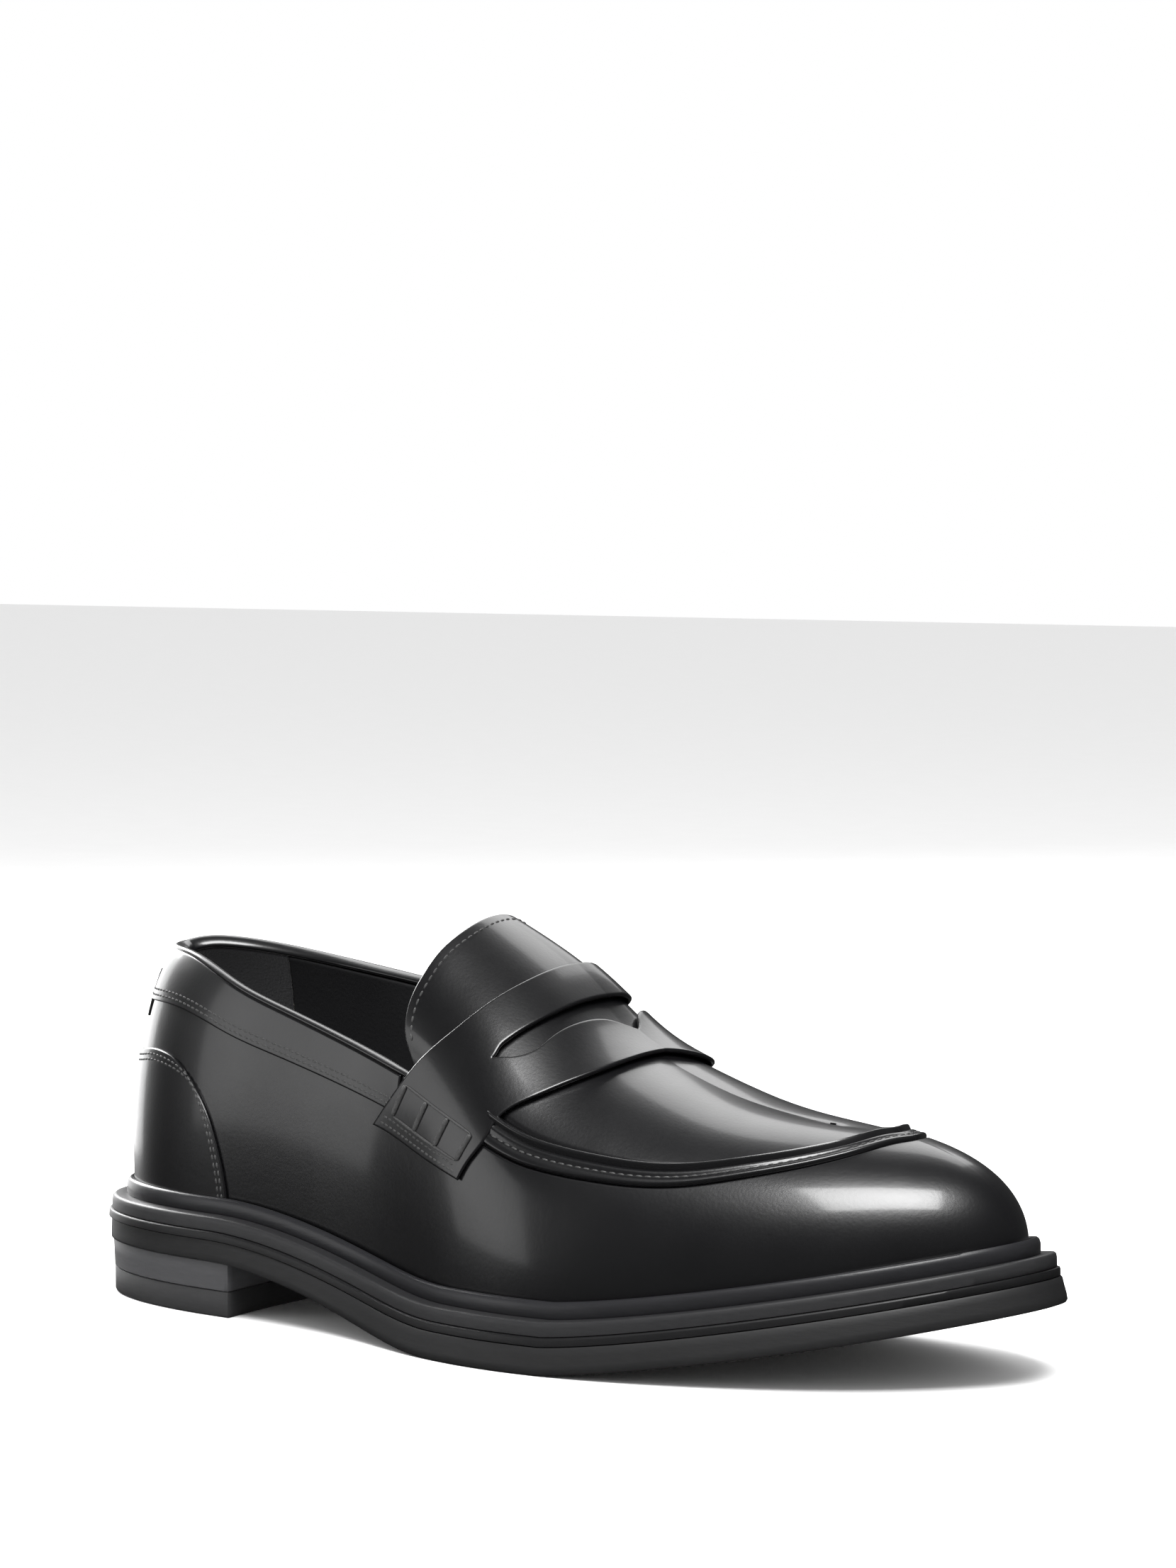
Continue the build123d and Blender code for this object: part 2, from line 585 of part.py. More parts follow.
def apron_plug():
    """Plug inside the rim, from the toe back under the strap to the tongue's crease."""
    x, q = np.meshgrid(np.linspace(crease(0.42) - 6, PLUG_FRONT, 26), np.linspace(-0.93, 0.93, 25), indexing="ij")
    ridge = natural(RIDGE_Y, x)
    outer, inner = (plan(w_at(x, side), FEATHER_INSET - 2.5)[0][..., 1] for side in (-1, 1))
    y = ridge + np.where(q < 0, ridge - outer, inner - ridge) * q
    patch = sheet(section(x, y, PLUG_OFF), section(x, y, PLUG_OFF - UPPER_LEATHER))
    ends = [w_at(crease(0.45), -1), w_at(crease(0.59), 1)]
    w = np.concatenate([np.linspace(ends[0], PLUG_TIP * W_TOE, 30),
                        np.linspace(1 - PLUG_TIP * (1 - W_TOE), ends[1], 30)])
    rim = upper(w, seam_inside(w), PLUG_OFF)[:, :2]
    rear = instep_line(lambda v: crease(v) + GLUE, *seam_inside(np.array(ends)), PLUG_OFF)
    return patch & cutter(np.concatenate([rim, rear[::-1][1:-1]]))


def strap_lacing(side):
    """Four short lengths of the lace that binds each end of the strap."""
    bars = []
    for k in range(4):
        s = 0.412 + 0.028 * k + np.array([-0.006, 0.006])
        w = s * W_TOE if side < 0 else 1 - s * (1 - W_TOE)
        v = np.array([0.27, 0.335]) + (0.08 if side > 0 else 0)
        a, b = upper(w, v, STRAP_OFF + TRIM_LEATHER + 0.9)
        axis = Plane(origin=Vector(*a), z_dir=Vector(*(b - a)))
        rod = Cylinder(0.75, float(np.linalg.norm(b - a)), align=(Align.CENTER, Align.CENTER, Align.MIN))
        bars.append(rod.moved(axis.location))
    return Compound(children=bars)


os.makedirs("parts", exist_ok=True)
save("outsole", outsole())
save("midsole", midsole())
save("welt_layer", welt_layer())
save("storm_welt", storm_welt())
save("heel_lift", heel_lift())
save("heel_top_piece", heel_top_piece())
save("heel_nails", Compound(children=nails()))
save("shank", shank_blank())
save("cork_filler", cork_filler())
save("insole_board", insole_board())
save("heel_pad", heel_pad())
save("sock_liner", sock_liner())
save("upper_body", upper_body())
save("counter_patch", counter_patch())
save("back_strap", back_strap())
save("collar_band", collar_band())
save("topline_binding", topline_binding())
save("heel_stiffener", heel_stiffener())
save("toe_puff", toe_puff())
save("side_stay_outer", side_stay(-1))
save("side_stay_inner", side_stay(1))
save("vamp_lining", vamp_lining())
save("quarter_lining_outer", quarter_lining(-1))
save("quarter_lining_inner", quarter_lining(1))
save("heel_grip", heel_grip())
save("apron_plug", apron_plug())
save("apron_rim", apron_rim())
save("penny_strap", penny_strap())
save("strap_lacing_outer", strap_lacing(-1))
save("strap_lacing_inner", strap_lacing(1))
save("tongue", tongue())
save("tongue_lining", tongue_lining())
hinge = upper(w_at(crease(1.0), -1), np.array(1.0), TONGUE_OFF)
print("tongue hinge at", [round(float(c), 2) for c in hinge - np.array([*CENTRE, 0])])
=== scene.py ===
import math
import bmesh
import bpy
import numpy as np
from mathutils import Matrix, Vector


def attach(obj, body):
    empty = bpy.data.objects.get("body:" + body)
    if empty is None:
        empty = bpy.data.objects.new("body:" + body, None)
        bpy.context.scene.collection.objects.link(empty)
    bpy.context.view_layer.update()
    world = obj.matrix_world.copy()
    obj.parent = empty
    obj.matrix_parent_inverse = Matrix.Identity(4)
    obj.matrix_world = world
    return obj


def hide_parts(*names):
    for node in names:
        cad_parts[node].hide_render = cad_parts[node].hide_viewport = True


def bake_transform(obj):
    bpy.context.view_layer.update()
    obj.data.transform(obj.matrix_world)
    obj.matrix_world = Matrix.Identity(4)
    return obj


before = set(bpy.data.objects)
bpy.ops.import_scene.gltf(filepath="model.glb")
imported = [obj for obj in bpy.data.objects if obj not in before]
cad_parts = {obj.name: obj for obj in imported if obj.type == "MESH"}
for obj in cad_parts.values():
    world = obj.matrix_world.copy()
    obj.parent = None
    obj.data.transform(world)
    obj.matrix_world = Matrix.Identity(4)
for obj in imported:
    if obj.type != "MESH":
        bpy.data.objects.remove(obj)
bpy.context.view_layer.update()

# Outsole. A moulded rubber sole, level under the heel, hollow at the waist, flat at the
# ball and turned up at the toe. Its edge is trimmed at a slope and cemented to the midsole.
SOLE_LENGTH, OUTER_WIDTH, INNER_WIDTH, TOE_SPRING = 309.5, 58.0, 50.0, 20.4
WELT_THICK, MIDSOLE_THICK, OUTSOLE_HEEL, OUTSOLE_FORE = 4.2, 2.6, 6.0, 7.4
LIFT_THICK, TOP_PIECE_THICK = 8.4, 7.6
ARCH_START, ARCH_END, BALL_END, HEEL_BACK = 62.0, 158.0, 195.0, 3.0
PLAN_OUTER = [(0.0, 0.0), (0.019, 0.284), (0.058, 0.457), (0.126, 0.597), (0.21, 0.662), (0.297, 0.686),
              (0.385, 0.759), (0.472, 0.905), (0.562, 1.0), (0.653, 0.983), (0.743, 0.888),
              (0.834, 0.729), (0.914, 0.509), (0.973, 0.224), (1.0, -0.069)]
PLAN_INNER = [(0.989, 0.41), (0.94, 0.71), (0.869, 0.91), (0.779, 1.0), (0.685, 0.994), (0.588, 0.89),
              (0.481, 0.71), (0.385, 0.63), (0.288, 0.65), (0.2, 0.70), (0.126, 0.68), (0.058, 0.54),
              (0.019, 0.34)]


def natural(knots, x):
    """Natural cubic spline through a few (station, value) knots, read at x."""
    xs, ys = np.array(knots, float).T
    h = np.diff(xs)
    rows, rhs = np.eye(len(xs)), np.zeros(len(xs))
    for i in range(1, len(xs) - 1):
        rows[i, i - 1:i + 2] = h[i - 1], 2 * (h[i - 1] + h[i]), h[i]
        rhs[i] = 6 * ((ys[i + 1] - ys[i]) / h[i] - (ys[i] - ys[i - 1]) / h[i - 1])
    m = np.linalg.solve(rows, rhs)
    k = np.clip(np.searchsorted(xs, x, side="right") - 1, 0, len(xs) - 2)
    d, g = x - xs[k], h[k]
    slope = (ys[k + 1] - ys[k]) / g - g * (2 * m[k] + m[k + 1]) / 6
    return ys[k] + d * slope + d**2 * m[k] / 2 + d**3 * (m[k + 1] - m[k]) / (6 * g)


def closed(points, share):
    """Closed cubic spline through the points, read at shares 0 to 1 of its chord length."""
    p = np.asarray(points, float)
    n = len(p)
    h = np.linalg.norm(np.roll(p, -1, 0) - p, axis=1)
    start = np.r_[0, np.cumsum(h)]
    rows, rhs = np.zeros((n, n)), np.zeros(p.shape)
    for i in range(n):
        j = (i + 1) % n
        rows[i, i - 1] += h[i - 1]
        rows[i, i] += 2 * (h[i - 1] + h[i])
        rows[i, j] += h[i]
        rhs[i] = 6 * ((p[j] - p[i]) / h[i] - (p[i] - p[i - 1]) / h[i - 1])
    m = np.linalg.solve(rows, rhs)
    u = np.mod(share, 1.0) * start[-1]
    k = np.clip(np.searchsorted(start, u, side="right") - 1, 0, n - 1)
    d, g = (u - start[k])[..., None], h[k][..., None]
    a, b, ma, mb = p[k], p[(k + 1) % n], m[k], m[(k + 1) % n]
    return a + d * ((b - a) / g - g * (2 * ma + mb) / 6) + d**2 * ma / 2 + d**3 * (mb - ma) / (6 * g)


PLAN = [(HEEL_BACK + s * SOLE_LENGTH, -f * OUTER_WIDTH) for s, f in PLAN_OUTER]
PLAN += [(HEEL_BACK + s * SOLE_LENGTH, f * INNER_WIDTH) for s, f in PLAN_INNER]
EDGE = closed(PLAN, np.linspace(0, 1, 2001))
CENTRE = (EDGE.max(axis=0) + EDGE.min(axis=0)) / 2
TOE_X = EDGE[:, 0].max()
W_TOE = np.argmax(EDGE[:, 0]) / 2000


def plan(w, inset):
    """Point of the sole's plan at share w round it, inset millimetres in, and the outward direction there."""
    step = 1e-4
    t = closed(PLAN, w + step) - closed(PLAN, w - step)
    t /= np.linalg.norm(t, axis=-1, keepdims=True)
    n = np.stack([t[..., 1], -t[..., 0]], -1)
    return closed(PLAN, w) - n * np.asarray(inset)[..., None], n


def ease(u):
    """Smooth step: 3u² − 2u³ with u held between 0 and 1."""
    u = np.clip(u, 0, 1)
    return u * u * (3 - 2 * u)


def sole_bottom(x):
    """Underside: level heel seat, an eased fall to the ground, then a rising power curve to the toe."""
    heel = (LIFT_THICK + TOP_PIECE_THICK) * (1 - ease((x - ARCH_START) / (ARCH_END - ARCH_START)))
    return heel + TOE_SPRING * np.clip((x - BALL_END) / (TOE_X - BALL_END), 0, 1.2)**1.25


def outsole_top(x):
    thick = OUTSOLE_HEEL + (OUTSOLE_FORE - OUTSOLE_HEEL) * ease((x - ARCH_START) / (ARCH_END - ARCH_START))
    return sole_bottom(x) + thick


WELD = 2e-6


def mesh_piece(name, grids, finish):
    """Quads over each grid of points in millimetres. A grid marked False is wound the other way, and
    shared borders are welded."""
    points, quads, count = [], [], 0
    for grid, forward in grids:
        rows, columns = grid.shape[:2]
        index = np.arange(rows * columns).reshape(rows, columns) + count
        corners = [index[:-1, :-1], index[1:, :-1], index[1:, 1:], index[:-1, 1:]]
        quads.append(np.stack(corners if forward else corners[::-1], -1).reshape(-1, 4))
        points.append(grid.reshape(-1, 3))
        count += rows * columns
    points = (np.concatenate(points) - np.array([*CENTRE, 0])) / 1000
    mesh = bpy.data.meshes.new(name)
    mesh.from_pydata(points, [], np.concatenate(quads).tolist())
    build = bmesh.new()
    build.from_mesh(mesh)
    bmesh.ops.remove_doubles(build, verts=build.verts, dist=WELD)
    bmesh.ops.dissolve_degenerate(build, edges=build.edges, dist=WELD / 2)
    build.to_mesh(mesh)
    build.free()
    mesh.shade_smooth()
    mesh.set_sharp_from_angle(angle=math.radians(50))
    piece = bpy.data.objects.new(name, mesh)
    bpy.context.scene.collection.objects.link(piece)
    mesh.materials.append(finish)
    return piece


def stacked(name, outline, profile, low, high, finish, flare=lambda x: 1.0):
    """A sole layer. The outline is moved out by each (proud, share of the height) step of its profile, then
    closed above and below by caps ruled straight across from the outer side to the inner."""
    t = np.roll(outline, -1, 0) - np.roll(outline, 1, 0)
    n = np.stack([t[:, 1], -t[:, 0]], -1) / np.linalg.norm(t, axis=1, keepdims=True)
    rings = []
    for proud, share in profile:
        xy = outline + n * proud * np.reshape(flare(outline[:, 0]), (-1, 1))
        ring = np.column_stack([xy, low(xy[:, 0]) * (1 - share) + high(xy[:, 0]) * share])
        rings.append(np.vstack([ring, ring[:1]]))
    half, across = len(outline) // 2, np.linspace(0, 1, 9)[None, :, None]
    grids = [(np.stack(rings, 1), True)]
    for ring, level, forward in ((rings[0], low, False), (rings[-1], high, True)):
        outer, inner = ring[:half + 1, None], ring[half:][::-1, None]
        cap = outer * (1 - across) + inner * across
        cap[..., 2] = level(cap[..., 0])
        grids.append((cap, forward))
    return mesh_piece(name, grids, finish)


class Signal:
    """A number inside a material; arithmetic on it adds Math nodes."""

    def __init__(self, finish, socket):
        self.finish, self.socket = finish, socket

    def math(self, operation, *values):
        return self.finish.node("ShaderNodeMath", {"operation": operation}, dict(enumerate(values)))

    def __add__(self, other):
        return self.math("ADD", self, other)

    def __sub__(self, other):
        return self.math("SUBTRACT", self, other)

    def __rsub__(self, other):
        return self.math("SUBTRACT", other, self)

    def __mul__(self, other):
        return self.math("MULTIPLY", self, other)

    __radd__, __rmul__ = __add__, __mul__


class Finish:
    """A material built round one Principled shader."""

    def __init__(self, name, **constants):
        self.material = bpy.data.materials.new(name)
        self.material.use_nodes = True
        self.tree = self.material.node_tree
        self.shader = self.tree.nodes["Principled BSDF"]
        self.place = self.node("ShaderNodeTexCoord", output="Object")
        for socket, value in constants.items():
            self.shader.inputs[socket.replace("_", " ")].default_value = value

    def node(self, kind, settings=None, values=None, output=0):
        made = self.tree.nodes.new(kind)
        for name, value in (settings or {}).items():
            setattr(made, name, value)
        for key, value in (values or {}).items():
            if isinstance(value, Signal):
                self.tree.links.new(value.socket, made.inputs[key])
            else:
                made.inputs[key].default_value = value
        return Signal(self, made.outputs[output])

    def noise(self, scale, detail=3.0, stretch=(1, 1, 1)):
        where = self.node("ShaderNodeMapping", None, {"Vector": self.place, "Scale": stretch})
        values = {"Vector": where, "Scale": scale, "Detail": detail}
        return self.node("ShaderNodeTexNoise", None, values, "Fac")

    def blend(self, amount, first, second):
        """One colour turning into another as amount goes from 0 to 1."""
        values = {0: amount, 6: (*first, 1), 7: (*second, 1)}
        return self.node("ShaderNodeMix", {"data_type": "RGBA"}, values, 2)

    def bump(self, height, strength, depth):
        return self.node("ShaderNodeBump", None, {"Height": height, "Strength": strength, "Distance": depth})

    def wear(self, **signals):
        for socket, signal in signals.items():
            self.tree.links.new(signal.socket, self.shader.inputs[socket.replace("_", " ")])
        return self.material


def trimmed_edge(name, dark, light, rough):
    """Trimmed and waxed edge: fine lines along the layer, a little dust in them, a low sheen."""
    edge = Finish(name, Specular_IOR_Level=0.35)
    lines = edge.noise(260, 4, (1, 1, 5))
    cloud = edge.noise(28, 3)
    speck = edge.noise(1400, 2)
    return edge.wear(Base_Color=edge.blend(lines * 0.6 + cloud * 0.4, dark, light),
                     Roughness=rough + cloud * 0.16 - lines * 0.05,
                     Normal=edge.bump(lines * 0.7 + speck * 0.3, 0.25, 0.0002))


ROUND = np.linspace(0, 1, 481)[:-1]
EDGE_LINE, _ = plan(ROUND, 0.0)
outsole_rubber = trimmed_edge("outsole_rubber", (0.006, 0.006, 0.0065), (0.012, 0.012, 0.0125), 0.5)
OUTSOLE_EDGE = [(1.6, 0), (2.5, 0.02), (2.9, 0.1), (2.6, 0.35), (1.9, 0.7), (1.5, 0.93), (1.1, 1)]
outsole = stacked("outsole_shell", EDGE_LINE, OUTSOLE_EDGE, sole_bottom, outsole_top, outsole_rubber,
                  flare=lambda x: 0.12 + 0.88 * ease((x - 30) / 120))
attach(outsole, "shoe")
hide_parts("outsole")

# Midsole. A thin rubber layer between the outsole and the welt, with a fine step above
# and below it that reads as a line round the shoe.
midsole_rubber = trimmed_edge("midsole_rubber", (0.003, 0.003, 0.0035), (0.007, 0.007, 0.0075), 0.4)


def midsole_top(x):
    return outsole_top(x) + MIDSOLE_THICK


midsole = stacked("midsole_shell", EDGE_LINE, [(0.6, 0), (1.0, 0.12), (0.95, 0.75), (0.75, 0.94), (0.4, 1)],
                  outsole_top, midsole_top, midsole_rubber)
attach(midsole, "shoe")
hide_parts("midsole")

# Welt. A strip of firm leather stitched to the insole's rib and trimmed flush, with its
# top corner rounded and inked black.
welt_ink = trimmed_edge("welt_ink", (0.009, 0.009, 0.01), (0.019, 0.019, 0.02), 0.42)


def seat(x):
    """Top of the welt, where the upper stands."""
    return midsole_top(x) + WELT_THICK


WELT_EDGE = [(-0.3, 0), (0.05, 0.06), (0.0, 0.6), (-0.2, 0.85), (-0.6, 0.96), (-1.3, 1)]
welt = stacked("welt_shell", EDGE_LINE, WELT_EDGE, midsole_top, seat, welt_ink)
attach(welt, "shoe")
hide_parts("welt_layer")

# Storm welt. A narrow bead of leather stood up against the upper all the way round, which
# keeps water out of the seam.
STORM_WELT_HEIGHT = 4.8
STORM_SECTION = [(-6.9, 0), (-4.5, 0), (-4.3, 0.12), (-4.35, 0.6), (-4.7, 0.85), (-5.3, 0.98), (-6.0, 0.98),
                 (-6.6, 0.86), (-6.9, 0.6), (-6.9, 0)]
storm_calf = trimmed_edge("storm_calf", (0.008, 0.008, 0.009), (0.016, 0.016, 0.018), 0.3)


def carried(name, section, base, height, finish):
    """A closed section of (move out, share of height) carried round the plan curve."""
    w = np.linspace(0, 1, 481)
    rings = []
    for out, share in section:
        xy, _ = plan(w, -out + 0 * w)
        rings.append(np.column_stack([xy, base(xy[:, 0]) + share * height]))
    return mesh_piece(name, [(np.stack(rings, 1), True)], finish)


storm = carried("storm_welt_bead", STORM_SECTION, seat, STORM_WELT_HEIGHT, storm_calf)
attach(storm, "shoe")
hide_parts("storm_welt")

# Heel. A stacked block under the heel seat and a rubber top piece below it, both cut with
# a hollow breast and fixed with nails.
HEEL_BREAST, HEEL_HOLLOW = 74.5, 6.0
block_edge = trimmed_edge("heel_block_edge", (0.03, 0.03, 0.032), (0.052, 0.052, 0.055), 0.45)
top_piece_rubber = trimmed_edge("top_piece_rubber", (0.016, 0.016, 0.017), (0.03, 0.03, 0.031), 0.55)


def heel_outline():
    """The plan behind the breast, closed there by a shallow arc bowed towards the back."""
    w = np.linspace(-0.25, 0.25, 1001)
    xy, _ = plan(w, 0.8 + 0 * w)
    arc_x = HEEL_BREAST - HEEL_HOLLOW * (1 - (xy[:, 1] / 60)**2)
    back = xy[xy[:, 0] < arc_x]
    run = np.r_[0, np.cumsum(np.linalg.norm(np.diff(back, axis=0), axis=1))]
    even = np.linspace(0, run[-1], 220)
    back = np.stack([np.interp(even, run, back[:, k]) for k in (0, 1)], -1)
    y = np.linspace(back[-1, 1], back[0, 1], 82)[1:-1]
    return np.vstack([back, np.stack([HEEL_BREAST - HEEL_HOLLOW * (1 - (y / 60)**2), y], -1)])


def heel_layer(name, outline, profile, low, high, finish):
    """A heel layer. The outline is moved out by each profile step, then drawn in to its middle above
    and below."""
    t = np.roll(outline, -1, 0) - np.roll(outline, 1, 0)
    n = np.stack([t[:, 1], -t[:, 0]], -1) / np.linalg.norm(t, axis=1, keepdims=True)
    middle = np.array([HEEL_BREAST / 2, 0.0])
    rings = []
    for proud, share, inward in [(profile[0][0], 0, t) for t in (1, 0.7, 0.3)] + [(*p, 0) for p in profile] \
            + [(profile[-1][0], 1, t) for t in (0.3, 0.7, 1)]:
        xy = (outline + n * proud) * (1 - inward) + middle * inward
        z = low(xy[:, 0]) * (1 - share) + high(xy[:, 0]) * share
        ring = np.column_stack([xy, z])
        rings.append(np.vstack([ring, ring[:1]]))
    return mesh_piece(name, [(np.stack(rings, 1), True)], finish)


HEEL_LINE = heel_outline()
lift = heel_layer("heel_block_shell", HEEL_LINE, [(-0.2, 0), (0.15, 0.03), (0.3, 0.5), (0.5, 0.96), (0.2, 1)],
                  lambda x: 0 * x + TOP_PIECE_THICK, sole_bottom, block_edge)
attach(lift, "shoe")
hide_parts("heel_lift")
TOP_PIECE_EDGE = [(-0.9, 0), (-0.3, 0.03), (0.0, 0.1), (0.05, 0.95), (-0.3, 1)]
top_piece = heel_layer("top_piece_shell", HEEL_LINE, TOP_PIECE_EDGE,
                       lambda x: 0 * x, lambda x: 0 * x + TOP_PIECE_THICK, top_piece_rubber)
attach(top_piece, "shoe")
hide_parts("heel_top_piece")

# Upper. One wrap of polished black calf, lasted over stiffeners and sewn to the welt. It is
# a rounded surface that rises from the plan to a ridge line over the foot.
COLLAR_HEIGHT, INSTEP_HEIGHT, TOE_BOX_HEIGHT = 102.0, 112.5, 61.0
FEATHER_INSET, UPPER_LEATHER, RIM_DEPTH = 7.5, 1.3, 0.085
RIDGE_X = [(0, 36), (25, 44), (70, 74), (150, 149), (230, 215), (285, 240), (312, 250)]
RIDGE_Y = [(36, 0), (120, 6), (150, 10.5), (190, 9.5), (220, 7.5), (276, 6)]
RIDGE_Z = [(36, COLLAR_HEIGHT + 8), (60, COLLAR_HEIGHT + 12), (90, COLLAR_HEIGHT + 16),
           (115, INSTEP_HEIGHT + 6.5), (128, INSTEP_HEIGHT + 5.5), (140, INSTEP_HEIGHT),
           (163, INSTEP_HEIGHT - 15), (176, TOE_BOX_HEIGHT + 25.5), (195, TOE_BOX_HEIGHT + 16),
           (215, TOE_BOX_HEIGHT + 9.5), (240, TOE_BOX_HEIGHT + 5), (258, TOE_BOX_HEIGHT + 2.5),
           (276, TOE_BOX_HEIGHT)]
ROUND_OUTER = [(0, 2.05), (60, 2.5), (110, 2.4), (140, 2.3), (200, 2.2), (240, 2.15), (312, 2.3)]
ROUND_INNER = [(0, 2.05), (60, 2.5), (110, 2.8), (140, 3.4), (180, 3.2), (215, 2.6), (250, 2.2), (312, 2.3)]
BELLY = [(0, 1.0), (60, 2), (130, 2), (200, 3), (270, 2), (312, 1)]
TOPLINE_OUTER = [(0.0, 0), (0.07, -0.5), (0.147, -2), (0.18, -4.5), (0.223, -9), (0.274, -14),
                 (0.337, -20.5), (0.42, -29)]
TOPLINE_INNER = [(0.0, 0), (0.05, 1), (0.106, 0.5), (0.175, -2), (0.239, -5), (0.316, -8.5), (0.42, -15)]
SEAM_OUTER = [(0.42, 0.35), (0.52, 0.335), (0.60, 0.368), (0.65, 0.383), (0.70, 0.41), (0.75, 0.46),
              (0.804, 0.52), (0.869, 0.61), (0.95, 0.72), (1.0, 0.74)]
SEAM_INNER = [(0.42, 0.49), (0.52, 0.50), (0.6, 0.50), (0.68, 0.49), (0.73, 0.485), (0.79, 0.52),
              (0.869, 0.61), (0.95, 0.72), (1.0, 0.74)]


def rounding(w, x):
    """Exponent of the cross section at share w: fuller on the inner side of the instep."""
    inner = ease((np.mod(w, 1.0) - 0.5) * 1e3)
    return natural(ROUND_OUTER, x) * (1 - inner) + natural(ROUND_INNER, x) * inner


def last_face(w, v):
    """Superellipse from the plan curve (v = 0) to the ridge (v = 1), swelled out by a half sine."""
    foot, out = plan(w, FEATHER_INSET)
    x = foot[..., 0]
    top_x = natural(RIDGE_X, x)
    power = 2 / rounding(w, x)
    belly = natural(BELLY, x) * np.sin(np.pi * v)
    level = np.cos(v * np.pi / 2).clip(0)**power
    rise = np.sin(v * np.pi / 2).clip(0)**power
    px = top_x + (x - top_x) * level + out[..., 0] * belly
    py = natural(RIDGE_Y, top_x) * (1 - level) + foot[..., 1] * level + out[..., 1] * belly
    return np.stack([px, py, seat(x) + (natural(RIDGE_Z, top_x) - seat(x)) * rise], -1)


def upper(w, v, off):
    """The last's face moved off millimetres along its own outward normal."""
    across = last_face(w + 5e-4, v) - last_face(w - 5e-4, v)
    along = last_face(w, np.clip(v + 2e-3, 0, 1)) - last_face(w, np.clip(v - 2e-3, 1e-4, 1))
    n = np.cross(across, along)
    n /= np.linalg.norm(n, axis=-1, keepdims=True)
    return last_face(w, v) + n * np.asarray(off)[..., None]


def v_at(w, z):
    """The v at which the upper reaches height z at share w."""
    foot, _ = plan(w, FEATHER_INSET)
    x = foot[..., 0]
    rise = (z - seat(x)) / (natural(RIDGE_Z, natural(RIDGE_X, x)) - seat(x))
    return np.arcsin(np.clip(rise, 0, 1)**(rounding(w, x) / 2)) * 2 / np.pi


def side_share(w):
    """Share of the way from the heel back to the toe tip, and whether that is on the inner side."""
    w = np.mod(w, 1.0)
    return np.where(w <= W_TOE, w / W_TOE, (1 - w) / (1 - W_TOE)), w > W_TOE


def top_edge(w):
    """v of the upper's top edge: the topline round the mouth, eased into the apron seam in front."""
    s, inner = side_share(w)
    drop = np.where(inner, natural(TOPLINE_INNER, s), natural(TOPLINE_OUTER, s))
    mouth = v_at(w, COLLAR_HEIGHT + np.where(s < 0.43, drop, 0))
    apron = np.where(inner, natural(SEAM_INNER, s), natural(SEAM_OUTER, s))
    blend = ease((s - 0.40) / 0.03)
    return mouth * (1 - blend) + apron * blend


def crowd(count, both=True):
    """Shares 0 to 1, closer together towards the ends, or towards the far end only."""
    u = np.linspace(0, 1, count)
    return (1 - np.cos(np.pi * u)) / 2 if both else np.sin(np.pi / 2 * u)


def border_distance(grid, ring=False):
    """Distance from each point to the nearest cut edge, measured along the grid's lines."""
    near = []
    for axis in (1,) if ring else (0, 1):
        step = np.linalg.norm(np.diff(grid, axis=axis), axis=-1)
        run = np.insert(np.cumsum(step, axis), 0, 0, axis)
        near.append(np.minimum(run, np.take(run, [-1], axis) - run))
    return near[0] if ring else np.minimum(*near)


def hide(w, v, low, high, radius=0.6, relief=0.0, ring=False, gap=None):
    """A cut piece of leather between two offsets of the upper. Its thickness falls to nothing along a
    quarter circle at each cut edge."""
    face = upper(w, v, (low + high) / 2)
    reach = border_distance(face, ring) if gap is None else gap(face)
    full = np.sqrt(1 - (1 - np.clip(reach / radius, 0, 1))**2)
    middle, half = (low + high) / 2, (high - low) / 2
    outside, inside = upper(w, v, middle + (half + relief) * full), upper(w, v, middle - half * full)
    normal = np.cross(np.gradient(outside, axis=0), np.gradient(outside, axis=1))
    forward = bool(((outside - inside) * normal).sum() > 0)
    return [(outside, forward), (inside, not forward)]


def leather_piece(name, w, v, low, high, finish, **options):
    piece = mesh_piece(name, hide(w, v, low, high, **options), finish)
    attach(piece, "shoe")
    return piece


def polished_calf(name, rough, crease):
    """Black calf brushed to a mirror: a clear wax coat, faint pores, and soft ripples from lasting."""
    calf = Finish(name, Coat_Weight=0.4, Coat_Roughness=0.12, Coat_IOR=1.5, Specular_IOR_Level=0.5)
    ripple = calf.noise(42, 4)
    pores = calf.noise(1100, 3)
    folds = calf.noise(130, 5, (1, 1, 2))
    bloom = calf.noise(14, 2)
    return calf.wear(Base_Color=calf.blend(bloom, (0.0016, 0.0016, 0.0019), (0.0042, 0.0042, 0.005)),
                     Roughness=rough + ripple * 0.12 + pores * 0.05,
                     Normal=calf.bump(ripple * 0.5 + folds * crease + pores * 0.12, 0.35, 0.0006))


box_calf = polished_calf("box_calf", 0.24, 0.10)
w, t = np.meshgrid(np.linspace(0, 1, 601), crowd(64), indexing="ij")
upper_leather = leather_piece("upper_leather", w, top_edge(w) * t, -UPPER_LEATHER, 0.0, box_calf, ring=True)
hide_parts("upper_body")

# Counter patch. A shaped piece of the same calf over the back of the heel, held by two
# rows of stitching inside its edge.
HEEL_SHARE, TRIM_LEATHER = 0.112, 0.9


def counter_place(a, b):
    """Share round the plan and v at place (a, b) of the patch. Its sides lean in, its top falls at the
    ends and its corners are rounded."""
    w = a * HEEL_SHARE * (1 - 0.16 * b**1.5) * (1 - 0.11 * a * a * b**8)
    edge = np.abs(w) / HEEL_SHARE
    top = 0.325 - 0.10 * np.clip(edge - 0.45, 0, 1)**1.5 / 0.4
    return w, 0.005 + (top - 0.03 * a**10 - 0.005) * b


